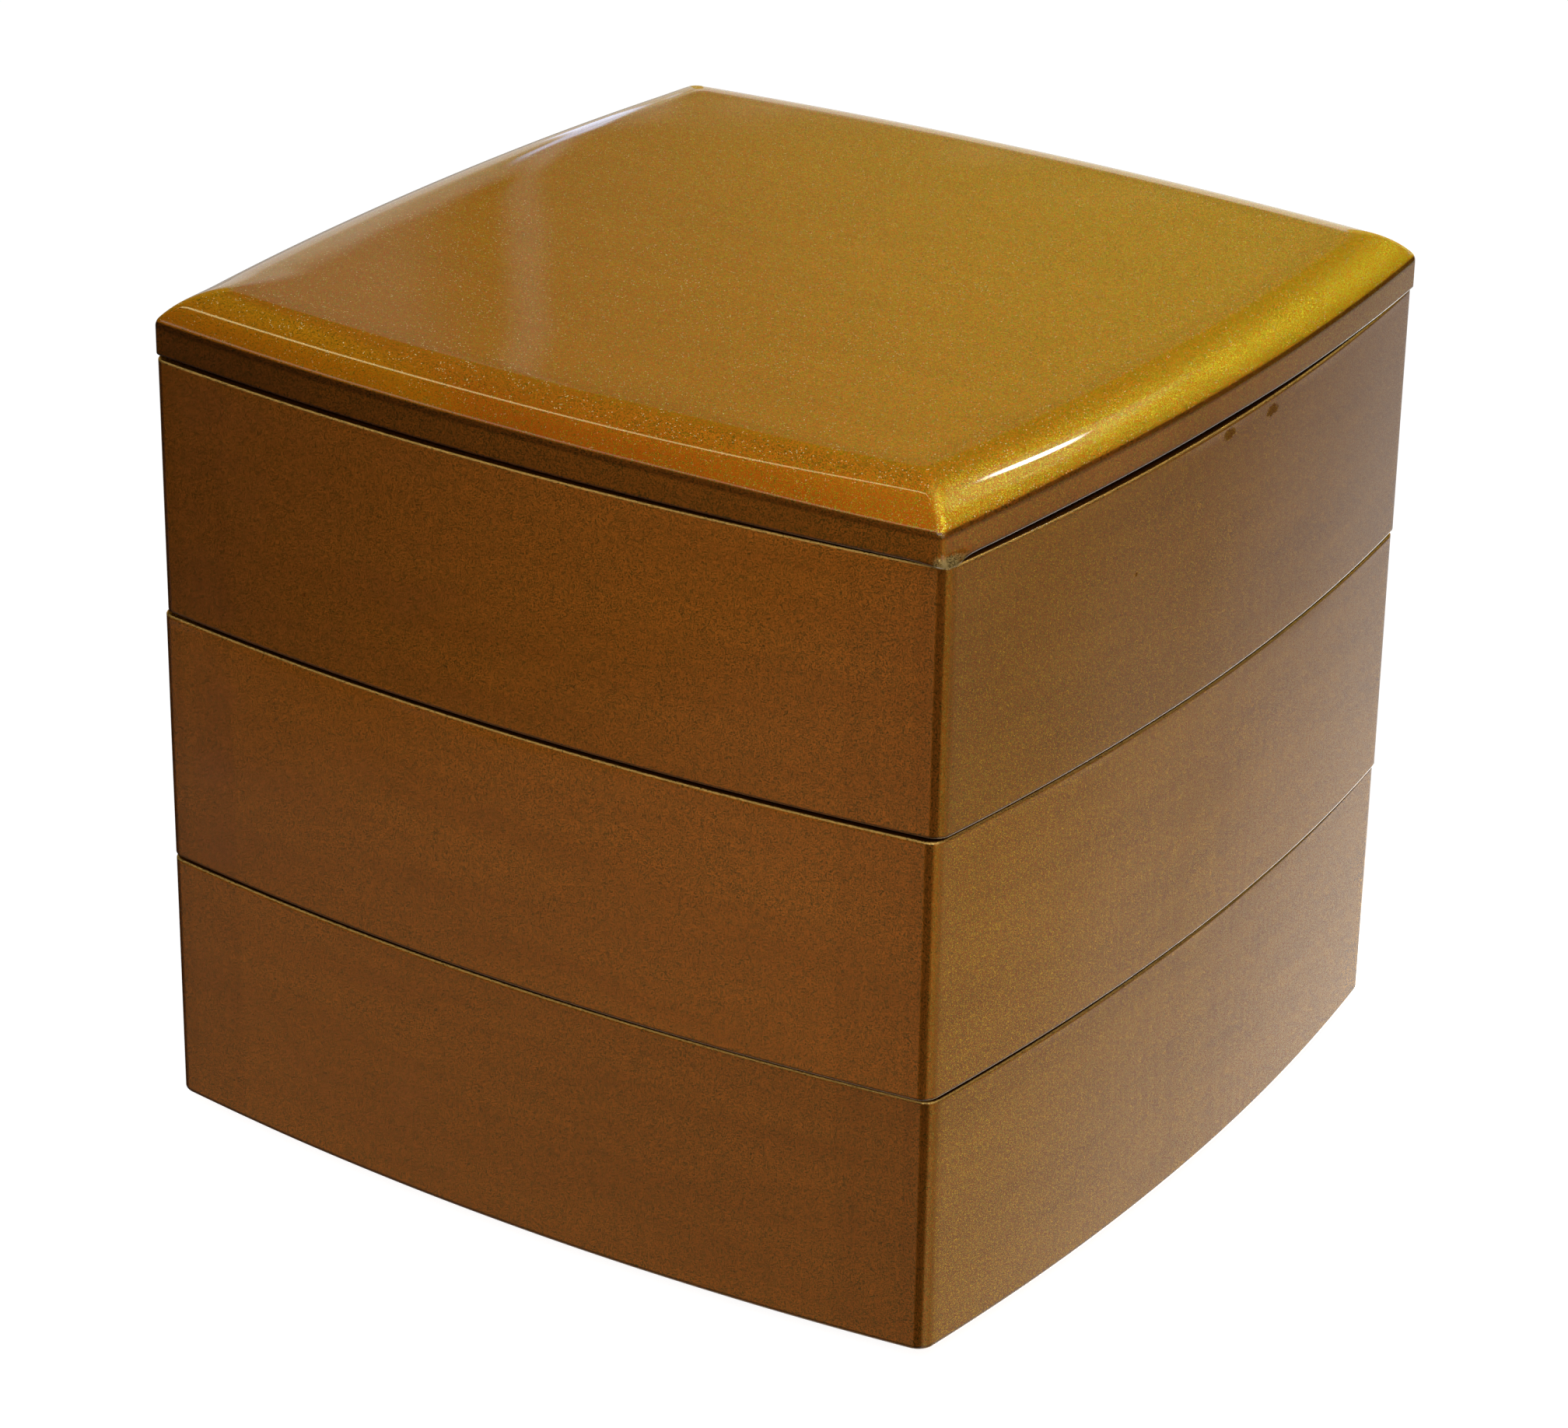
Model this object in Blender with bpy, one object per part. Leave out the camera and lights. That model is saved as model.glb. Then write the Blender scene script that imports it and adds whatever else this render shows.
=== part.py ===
"""Three-tier stacking food box with bowed sides and a lift-off lid.

Metres, +Z up. The origin is the centre of the underside that the box stands on.
The front is the -Y side. The plan is a square whose four sides bow outwards.
"""
import math

import bmesh
import bpy

# Plan of a tier's wall
corner_half = 0.0910       # centre line to the corner where two side arcs would meet
side_bow = 0.0066          # how far the middle of a side stands out past its corners
corner_radius = 0.0036     # vertical edges, outside
wall = 0.0060

# Tier, upwards
tier_pitch = 0.05425       # from one tier's lower edge to the next one's
rest_gap = 0.0003          # between pieces that rest on each other
foot_drop = 0.0030         # foot below the wall's lower edge
floor_board = 0.0055       # floor thickness, foot included
foot_clearance = 0.0009    # all round, between a foot and the mouth it sits in

# Tier, edges
mouth_radius = 0.0040      # vertical edges, inside
floor_fillet = 0.0025      # inside, between wall and floor
edge_round = 0.0007        # rims and lower edges
base_round = 0.0009        # lower edge of the lowest tier

# Lid
lid_overhang = 0.0001      # past the tier, at the corners
lid_bow = 0.0058
lid_corner_radius = 0.0028
skirt_height = 0.0073      # from the skirt's lower edge to the arris
skirt_draft = 0.0005       # how far the skirt leans in towards its lower edge
arris_round = 0.0006
shoulder_width = 0.0125
shoulder_slope = math.radians(51.0)   # steepness just above the arris
shoulder_radius = 0.0065   # corner radius in plan where the shoulder meets the flat top
lid_shell = 0.0055
plug_drop = 0.0030         # plug rim below the skirt
plug_clearance = 0.0009
plug_wall = 0.0055

# Fineness
side_steps = 10
corner_steps = 3
round_steps = 2
shoulder_steps = 7
weld_distance = 0.00001
flat_angle = math.radians(0.1)
sharp_angle = math.radians(50.0)

# Worked out from the sizes above
foot_inset = wall + foot_clearance
foot_radius = mouth_radius - foot_clearance
plug_inset = wall + plug_clearance
plug_radius = mouth_radius - plug_clearance
shoulder_lean = math.pi / 2.0 - shoulder_slope
shoulder_arc = shoulder_width / math.sin(shoulder_slope)


def bowed_square(half, bow, inset, radius):
    """Points of the plan outline, counter-clockwise from the front left corner, moved in by inset."""
    side_radius = (half * half + bow * bow) / (2.0 * bow)
    side_centre = side_radius - half - bow
    reach = side_radius - inset
    to_fillet = reach - radius
    fillet = (math.sqrt(2.0 * to_fillet ** 2 - side_centre ** 2) - side_centre) / 2.0
    spread = math.atan2(fillet, fillet + side_centre)
    corner_span = math.pi / 2.0 - 2.0 * spread
    points = []
    for turn in range(4):
        middle = -math.pi / 2.0 + turn * math.pi / 2.0
        centre_x = -side_centre * math.cos(middle)
        centre_y = -side_centre * math.sin(middle)
        for step in range(side_steps + 1):
            angle = middle + spread * (2.0 * step / side_steps - 1.0)
            points.append((centre_x + reach * math.cos(angle), centre_y + reach * math.sin(angle)))
        diagonal = middle + math.pi / 4.0
        corner_x = fillet * math.sqrt(2.0) * math.cos(diagonal)
        corner_y = fillet * math.sqrt(2.0) * math.sin(diagonal)
        for step in range(1, corner_steps):
            angle = middle + spread + corner_span * step / corner_steps
            points.append((corner_x + radius * math.cos(angle), corner_y + radius * math.sin(angle)))
    return points


def new_collection(name):
    collection = bpy.data.collections.new(name)
    bpy.context.scene.collection.children.link(collection)
    return collection


def lacquer(name, colour, metallic, roughness):
    """Principled material of one sub-part."""
    material = bpy.data.materials.new(name)
    material.use_nodes = True
    shader = material.node_tree.nodes["Principled BSDF"]
    shader.inputs["Base Color"].default_value = (*colour, 1.0)
    shader.inputs["Metallic"].default_value = metallic
    shader.inputs["Roughness"].default_value = roughness
    shader.inputs["Coat Weight"].default_value = 1.0
    return material


def prism(name, collection, outline, low, high):
    """Mesh between two heights, from a flat outline curve that is extruded."""
    curve = bpy.data.curves.new(name + "_outline", "CURVE")
    curve.dimensions = "2D"
    curve.fill_mode = "BOTH"
    curve.extrude = (high - low) / 2.0
    spline = curve.splines.new("POLY")
    spline.points.add(len(outline) - 1)
    for point, (x, y) in zip(spline.points, outline):
        point.co = (x, y, 0.0, 1.0)
    spline.use_cyclic_u = True
    drawn = bpy.data.objects.new(name + "_curve", curve)
    collection.objects.link(drawn)
    drawn.location.z = (low + high) / 2.0
    bpy.context.view_layer.update()
    mesh = bpy.data.meshes.new_from_object(drawn.evaluated_get(bpy.context.evaluated_depsgraph_get()))
    mesh.name = name
    mesh.transform(drawn.matrix_world)
    bpy.data.objects.remove(drawn)
    bpy.data.curves.remove(curve)
    solid = bmesh.new()
    solid.from_mesh(mesh)
    tidy_flats(solid)
    bmesh.ops.recalc_face_normals(solid, faces=solid.faces)
    solid.to_mesh(mesh)
    solid.free()
    piece = bpy.data.objects.new(name, mesh)
    collection.objects.link(piece)
    return piece


def loft(name, collection, rings):
    """Closed mesh through outlines of equal point count, given as (outline, height) from below upwards."""
    solid = bmesh.new()
    loops = [[solid.verts.new((x, y, height)) for x, y in outline] for outline, height in rings]
    for lower, upper in zip(loops, loops[1:]):
        for here in range(len(lower)):
            after = (here + 1) % len(lower)
            solid.faces.new((lower[here], lower[after], upper[after], upper[here]))
    solid.faces.new(reversed(loops[0]))
    solid.faces.new(loops[-1])
    bmesh.ops.recalc_face_normals(solid, faces=solid.faces)
    mesh = bpy.data.meshes.new(name)
    solid.to_mesh(mesh)
    solid.free()
    piece = bpy.data.objects.new(name, mesh)
    collection.objects.link(piece)
    return piece


def tidy_flats(solid):
    """Weld a mesh's doubled points and join the triangles of each flat face."""
    bmesh.ops.remove_doubles(solid, verts=solid.verts, dist=weld_distance)
    bmesh.ops.dissolve_limit(solid, angle_limit=flat_angle, verts=solid.verts, edges=solid.edges)


def round_edges_at(piece, level, width, steps):
    """Round the sharp edges that lie flat at one height."""
    solid = bmesh.new()
    solid.from_mesh(piece.data)
    edges = []
    for edge in solid.edges:
        lies_there = all(abs(vert.co.z - level) < weld_distance for vert in edge.verts)
        if lies_there and edge.calc_face_angle(0.0) > sharp_angle:
            edges.append(edge)
    bmesh.ops.bevel(solid, geom=edges, offset=width, segments=steps, profile=0.5, affect="EDGES")
    solid.to_mesh(piece.data)
    solid.free()


def join_and_cut(piece, joined, removed):
    """Unite one solid with the piece and cut another away."""
    for operation, other in (("UNION", joined), ("DIFFERENCE", removed)):
        boolean = piece.modifiers.new(operation.title(), "BOOLEAN")
        boolean.operation = operation
        boolean.solver = "EXACT"
        boolean.object = other
        other.hide_render = True
        other.display_type = "WIRE"
    evaluated = piece.evaluated_get(bpy.context.evaluated_depsgraph_get())
    mesh = bpy.data.meshes.new_from_object(evaluated)
    mesh.name = piece.name
    piece.modifiers.clear()
    piece.data = mesh
    solid = bmesh.new()
    solid.from_mesh(mesh)
    tidy_flats(solid)
    solid.to_mesh(mesh)
    solid.free()


def finish(piece, material):
    piece.data.materials.clear()
    piece.data.materials.append(material)
    piece.data.shade_smooth()
    piece.data.set_sharp_from_angle(angle=math.radians(35.0))


def make_tier(name, lower_edge, lower_round, material, parts, cutters):
    """One tray: bowed wall, floor on a foot that is smaller than the mouth below it, and an open top."""
    rim = lower_edge + tier_pitch - rest_gap
    underside = lower_edge - foot_drop
    floor_top = underside + floor_board
    tier = prism(name, parts, bowed_square(corner_half, side_bow, 0.0, corner_radius), lower_edge, rim)
    round_edges_at(tier, lower_edge, lower_round, round_steps)
    round_edges_at(tier, rim, edge_round, round_steps)
    foot_outline = bowed_square(corner_half, side_bow, foot_inset, foot_radius)
    foot = prism(name + "_foot", cutters, foot_outline, underside, lower_edge + lower_round)
    round_edges_at(foot, underside, edge_round, round_steps)
    mouth_outline = bowed_square(corner_half, side_bow, wall, mouth_radius)
    inside = prism(name + "_inside", cutters, mouth_outline, floor_top, rim + wall)
    round_edges_at(inside, floor_top, floor_fillet, round_steps)
    join_and_cut(tier, foot, inside)
    round_edges_at(tier, rim, edge_round, round_steps)
    finish(tier, material)
    return rim


def lid_outline(inset, radius):
    return bowed_square(corner_half + lid_overhang, lid_bow, inset, radius)


def lid_rings(lower_edge):
    """Skirt, rounded arris and shoulder, from the lower edge up to the flat top."""
    rings = []
    for step in range(round_steps + 1):
        turn = math.pi / 2.0 * step / round_steps
        inset = skirt_draft + edge_round * (1.0 - math.sin(turn))
        height = lower_edge + edge_round * (1.0 - math.cos(turn))
        rings.append((lid_outline(inset, lid_corner_radius), height))
    arris = lower_edge + skirt_height
    for step in range(round_steps + 1):
        turn = shoulder_lean * step / round_steps
        inset = arris_round * (1.0 - math.cos(turn))
        height = arris - arris_round + arris_round * math.sin(turn)
        rings.append((lid_outline(inset, lid_corner_radius), height))
    start_inset = arris_round * (1.0 - math.cos(shoulder_lean))
    start_height = arris - arris_round + arris_round * math.sin(shoulder_lean)
    for step in range(1, shoulder_steps + 1):
        slope = shoulder_slope * (1.0 - step / shoulder_steps)
        across = shoulder_arc * (math.sin(shoulder_slope) - math.sin(slope))
        up = shoulder_arc * (math.cos(slope) - math.cos(shoulder_slope))
        share = across / shoulder_width
        radius = lid_corner_radius + (shoulder_radius - lid_corner_radius) * share
        rings.append((lid_outline(start_inset + across, radius), start_height + up))
    return rings


def make_lid(lower_edge, material, parts, cutters):
    """Lid: shouldered shell with a skirt, a plug rim for the mouth below and a hollow underside."""
    rings = lid_rings(lower_edge)
    top = rings[-1][1]
    lid = loft("lid", parts, rings)
    plug_outline = bowed_square(corner_half, side_bow, plug_inset, plug_radius)
    plug = prism("lid_plug", cutters, plug_outline, lower_edge - plug_drop, lower_edge + skirt_height / 2.0)
    hollow_outline = bowed_square(corner_half, side_bow, plug_inset + plug_wall, plug_radius)
    hollow = prism("lid_hollow", cutters, hollow_outline, lower_edge - 2.0 * plug_drop, top - lid_shell)
    round_edges_at(hollow, top - lid_shell, floor_fillet, round_steps)
    join_and_cut(lid, plug, hollow)
    round_edges_at(lid, lower_edge - plug_drop, edge_round, round_steps)
    finish(lid, material)


for leftover in list(bpy.data.objects):
    bpy.data.objects.remove(leftover)

box_parts = new_collection("tiered_food_box")
box_cutters = new_collection("cutters")
tier_lacquer = lacquer("tier_lacquer", (0.24, 0.11, 0.03), 0.6, 0.35)
lid_lacquer = lacquer("lid_lacquer", (0.36, 0.19, 0.03), 0.6, 0.30)

next_edge = foot_drop
for tier_name, tier_round in (("bottom_tier", base_round), ("middle_tier", edge_round), ("top_tier", edge_round)):
    tier_rim = make_tier(tier_name, next_edge, tier_round, tier_lacquer, box_parts, box_cutters)
    next_edge = tier_rim + rest_gap
make_lid(next_edge, lid_lacquer, box_parts, box_cutters)
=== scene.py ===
import math

import bmesh
import bpy
from mathutils import Matrix, Vector, noise


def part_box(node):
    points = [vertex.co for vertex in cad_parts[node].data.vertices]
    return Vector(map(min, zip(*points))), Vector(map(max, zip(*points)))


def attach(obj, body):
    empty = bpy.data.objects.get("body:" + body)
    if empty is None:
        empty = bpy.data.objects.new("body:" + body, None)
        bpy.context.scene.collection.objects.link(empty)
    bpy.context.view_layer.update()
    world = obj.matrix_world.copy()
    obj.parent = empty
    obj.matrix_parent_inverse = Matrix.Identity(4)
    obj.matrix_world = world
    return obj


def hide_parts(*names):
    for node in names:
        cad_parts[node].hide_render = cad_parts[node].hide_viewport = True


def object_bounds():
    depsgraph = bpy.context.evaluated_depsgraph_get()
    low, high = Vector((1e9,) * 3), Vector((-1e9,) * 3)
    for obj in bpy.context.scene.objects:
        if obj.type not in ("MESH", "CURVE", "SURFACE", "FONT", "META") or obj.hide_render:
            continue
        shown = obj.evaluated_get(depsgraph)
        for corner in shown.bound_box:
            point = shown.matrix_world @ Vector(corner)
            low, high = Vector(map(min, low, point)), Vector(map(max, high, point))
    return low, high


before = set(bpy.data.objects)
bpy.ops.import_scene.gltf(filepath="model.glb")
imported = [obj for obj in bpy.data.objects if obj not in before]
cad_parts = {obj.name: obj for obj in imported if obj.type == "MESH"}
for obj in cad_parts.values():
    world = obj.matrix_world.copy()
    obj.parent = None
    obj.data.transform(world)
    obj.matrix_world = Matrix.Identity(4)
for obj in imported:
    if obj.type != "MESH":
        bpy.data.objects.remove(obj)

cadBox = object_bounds()
print("frame loaded:", ", ".join(sorted(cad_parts)))


# Outline and mesh helpers

# How finely every ring is drawn
fineness = {
    "sideSteps": 120,
    "cornerSteps": 12,
    "roundSteps": 6,
    "support": 0.00035,      # extra ring beside each rounded edge, so that flats shade flat
    "leastRadius": 0.0005,
}


def bowedOutline(half, bow, inset, radius, shrink=1.0):
    # square whose four sides are shallow arcs, with rounded corners, counter-clockwise
    sideRadius = (half * half + bow * bow) / (2.0 * bow)
    sideCentre = sideRadius - half - bow
    reach = sideRadius - inset
    toFillet = reach - radius
    fillet = (math.sqrt(2.0 * toFillet ** 2 - sideCentre ** 2) - sideCentre) / 2.0
    spread = math.atan2(fillet, fillet + sideCentre)
    cornerSpan = math.pi / 2.0 - 2.0 * spread
    points = []
    for turn in range(4):
        middle = -math.pi / 2.0 + turn * math.pi / 2.0
        centre = Vector((-sideCentre * math.cos(middle), -sideCentre * math.sin(middle)))
        for step in range(fineness["sideSteps"] + 1):
            angle = middle + spread * (2.0 * step / fineness["sideSteps"] - 1.0)
            points.append(centre + reach * Vector((math.cos(angle), math.sin(angle))))
        diagonal = middle + math.pi / 4.0
        corner = fillet * math.sqrt(2.0) * Vector((math.cos(diagonal), math.sin(diagonal)))
        for step in range(1, fineness["cornerSteps"]):
            angle = middle + spread + cornerSpan * step / fineness["cornerSteps"]
            points.append(corner + radius * Vector((math.cos(angle), math.sin(angle))))
    return [point * shrink for point in points]


def ring(outline, height, **marks):
    # one closed line of a shell, with the marks that the finish reads
    return {"outline": outline, "height": height, "marks": marks}


def spaced(low, high, gap):
    # heights between two edges, with a support ring next to each
    support = fineness["support"] * (1.0 if high > low else -1.0)
    count = max(1, round(abs(high - low) / gap))
    inner = [low + (high - low) * step / count for step in range(1, count)]
    inner = [h for h in inner if min(abs(h - low), abs(h - high)) > 2.0 * abs(support)]
    return [low + support] + inner + [high - support]


def smooth(value, low, high):
    share = min(max((value - low) / (high - low), 0.0), 1.0)
    return share * share * (3.0 - 2.0 * share)


def outward(outline, index):
    before, after = outline[index - 1], outline[(index + 1) % len(outline)]
    along = (after - before).normalized()
    return Vector((along.y, -along.x, 0.0))


def ripple(point, reach, length, seed):
    # slow unevenness of a hand-rubbed surface
    place = point / length + Vector((seed, 2.3 * seed, -1.7 * seed))
    return reach * noise.noise(place)


def shell(name, rings, reshape):
    # closed mesh through the rings, with a fan at each end
    body = bmesh.new()
    keys = sorted({key for each in rings for key in each["marks"]})
    layers = {key: body.verts.layers.float.new(key) for key in keys}

    def mark(vert, marks):
        for key, layer in layers.items():
            vert[layer] = marks.get(key, 0.0)

    loops = []
    for each in rings:
        loop = []
        for index, flat in enumerate(each["outline"]):
            place = Vector((flat.x, flat.y, each["height"]))
            vert = body.verts.new(reshape(place, outward(each["outline"], index), each["marks"]))
            mark(vert, each["marks"])
            loop.append(vert)
        loops.append(loop)
    for near, far in zip(loops, loops[1:]):
        for index in range(len(near)):
            after = (index + 1) % len(near)
            body.faces.new((near[index], near[after], far[after], far[index]))
    for each, loop in ((rings[0], loops[0]), (rings[-1], loops[-1])):
        hub = body.verts.new(reshape(Vector((0.0, 0.0, each["height"])), Vector((0, 0, 0)), each["marks"]))
        mark(hub, each["marks"])
        for index in range(len(loop)):
            body.faces.new((loop[index], loop[(index + 1) % len(loop)], hub))
    bmesh.ops.recalc_face_normals(body, faces=body.faces)
    mesh = bpy.data.meshes.new(name)
    body.to_mesh(mesh)
    body.free()
    mesh.shade_smooth()
    piece = bpy.data.objects.new(name, mesh)
    bpy.context.scene.collection.objects.link(piece)
    return piece


def settle(piece, rest):
    # the stack was put together by hand, so each piece sits a little off true
    turn = Matrix.Rotation(math.radians(rest["turn"]), 4, "Z")
    piece.matrix_world = Matrix.Translation((*rest["shift"], 0.0)) @ turn


# Trays

trayShape = {
    "sideBow": 0.0066,
    "cornerRadius": 0.0036,
    "wall": 0.0060,
    "mouthRadius": 0.0040,
    "footDrop": 0.0030,
    "footGap": 0.0011,
    "floorBoard": 0.0055,
    "floorFillet": 0.0025,
    "edgeRound": 0.0005,
    "lipRound": 0.0004,
    "baseRound": 0.0009,
    "seamLift": 0.0006,         # the walls end a little above the rim below
    "rimLift": 0.0003,
    "wallGap": 0.0022,          # between rings up the wall
    "insideGap": 0.0088,
    "rimSpan": (0.0, 0.4),      # round the rim's edge: where the painted highlight on the rim begins
    "seamSpan": (0.55, 0.95),   # and where the painted shade of the joint does
    "floorShares": (0.96, 0.8, 0.6, 0.4, 0.2),
    "rippleReach": 0.000045,
    "rippleLength": 0.030,
    "rimReach": 0.00003,        # unevenness of the lacquer along a rim
    "rimLength": 0.004,
    "rimSeed": 5.0,
}
trayRests = {
    "bottom_tier": {"shift": (0.0, 0.0), "turn": 0.0},
    "middle_tier": {"shift": (0.00039, -0.00046), "turn": -0.336},
    "top_tier": {"shift": (0.00076, -0.00026), "turn": -0.204},
}


def trayRings(low, rim, half, lowerRound, seamLift):
    shape = trayShape
    lowerEdge = low + shape["footDrop"] + seamLift
    floorTop = low + shape["floorBoard"]
    footInset = shape["wall"] + shape["footGap"]
    footRadius = shape["mouthRadius"] - shape["footGap"]
    steps = fineness["roundSteps"]
    edge = shape["edgeRound"]

    def at(inset, height, radius, shrink=1.0, **marks):
        return ring(bowedOutline(half, shape["sideBow"], inset, radius, shrink), height, **marks)

    rings = []
    for share in reversed(shape["floorShares"]):
        rings.append(at(footInset + edge, low, footRadius - edge, share, inside=1.0))
    for step in range(steps + 1):
        turn = math.pi / 2.0 * step / steps
        rings.append(at(footInset + edge * (1.0 - math.sin(turn)), low + edge * (1.0 - math.cos(turn)),
                        footRadius, inside=1.0))
    rings.append(at(footInset, lowerEdge, footRadius, inside=1.0))
    rings.append(at(lowerRound + fineness["support"], lowerEdge, shape["cornerRadius"], inside=0.5))
    for step in range(steps + 1):
        turn = math.pi / 2.0 * step / steps
        rings.append(at(lowerRound * (1.0 - math.sin(turn)), lowerEdge + lowerRound * (1.0 - math.cos(turn)),
                        shape["cornerRadius"], lip=1.0))
    for height in spaced(lowerEdge + lowerRound, rim - edge, shape["wallGap"]):
        rings.append(at(0.0, height, shape["cornerRadius"], wall=1.0))
    for step in range(steps + 1):
        turn = math.pi / 2.0 * step / steps
        share = step / steps
        seam = smooth(share, *shape["seamSpan"])
        rings.append(at(edge * (1.0 - math.cos(turn)), rim - edge * (1.0 - math.sin(turn)),
                        shape["cornerRadius"], rim=smooth(share, *shape["rimSpan"]) * (1.0 - seam), seam=seam))
    rings.append(at(shape["wall"] - edge, rim, shape["mouthRadius"], seam=1.0))
    for step in range(1, steps + 1):
        turn = math.pi / 2.0 * step / steps
        rings.append(at(shape["wall"] - edge * (1.0 - math.sin(turn)), rim - edge * (1.0 - math.cos(turn)),
                        shape["mouthRadius"], seam=1.0 - step / steps, inside=step / steps))
    fillet = shape["floorFillet"]
    for height in spaced(rim - edge, floorTop + fillet, shape["insideGap"]):
        rings.append(at(shape["wall"], height, shape["mouthRadius"], inside=1.0))
    for step in range(steps + 1):
        turn = math.pi / 2.0 * step / steps
        inward = fillet * (1.0 - math.cos(turn))
        rings.append(at(shape["wall"] + inward, floorTop + fillet * (1.0 - math.sin(turn)),
                        max(shape["mouthRadius"] - inward, fineness["leastRadius"]), inside=1.0))
    floorInset = shape["wall"] + fillet
    for share in shape["floorShares"]:
        rings.append(at(floorInset, floorTop, shape["mouthRadius"] - fillet, share, inside=1.0))
    return rings


def makeTray(name, seed):
    lowCorner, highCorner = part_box(name)
    half = highCorner.x - trayShape["sideBow"]
    lowest = name == "bottom_tier"
    lowerRound = trayShape["baseRound"] if lowest else trayShape["lipRound"]
    seamLift = 0.0 if lowest else trayShape["seamLift"]

    def reshape(place, out, marks):
        moved = place.copy()
        top = marks.get("rim", 0.0) + marks.get("seam", 0.0)
        if marks.get("wall") or marks.get("lip") or top:
            moved += out * ripple(place, trayShape["rippleReach"], trayShape["rippleLength"], seed)
        if top:
            rimSeed = seed + trayShape["rimSeed"]
            moved.z -= abs(ripple(place, trayShape["rimReach"], trayShape["rimLength"], rimSeed)) * top
        return moved

    rings = trayRings(lowCorner.z, highCorner.z + trayShape["rimLift"], half, lowerRound, seamLift)
    piece = shell(name + "_lacquered", rings, reshape)
    settle(piece, trayRests[name])
    print("tray made:", piece.name, len(piece.data.polygons), "faces")
    return piece


# Lid

lidShape = {
    "bow": 0.0058,
    "overhang": -0.0001,
    "cornerRadius": 0.0019,
    "seamLift": 0.0003,
    "skirtHeight": 0.00815,
    "arrisRound": 0.0023,
    "arrisSteps": 10,
    "lipRound": 0.00035,
    "edgeRound": 0.0007,
    "shoulderSlope": math.radians(47.6),
    "shoulderRadius": 0.0032,
    "shoulderSteps": 26,
    "shellDepth": 0.0055,
    "plugDrop": 0.0030,
    "plugGap": 0.0016,
    "plugWall": 0.0052,
    "plugRadius": 0.0030,
    "hollowFillet": 0.0025,
    "topShares": tuple(step / 34.0 for step in range(1, 34)) + (0.985,),
    "rippleReach": 0.00004,
    "rippleLength": 0.024,
    "topSpan": (-0.008, 0.002),  # where the unevenness turns from upward to outward
    "arrisSpan": (0.25, 0.5),    # round the arris: where the skirt's finish begins
    "arrisFade": 0.12,
    "skirtGap": 0.0004,
    "hollowGap": 0.0030,
    "hemSpan": (0.3, 1.0),
    # the lid stands open along part of its right side
    "slot": {"lift": 0.00026, "opens": (-0.0860, -0.0560), "closes": (0.0, 0.0350), "side": 0.9},
    # the flat top falls off softly at the far left
    "farSoft": {"reach": 0.0110, "down": 0.00018, "corner": 0.014, "carry": 0.25, "weaker": 0.6,
                "weakerSpan": (-0.03, 0.06)},
    # the near corner of the shoulder hangs a little
    "dip": {"place": (0.0860, -0.0960), "reach": 0.0300, "down": 0.00055, "fallSpan": (0.004, 0.012),
            "hemEnd": 0.5},
    # a drop of lacquer that ran down there
    "bead": {"place": (0.0905, -0.0880), "reach": 0.0032, "out": 0.00095, "down": 0.00060, "height": 0.0022},
}
lidRest = {"shift": (0.00080, -0.00020), "turn": -0.755}


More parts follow.
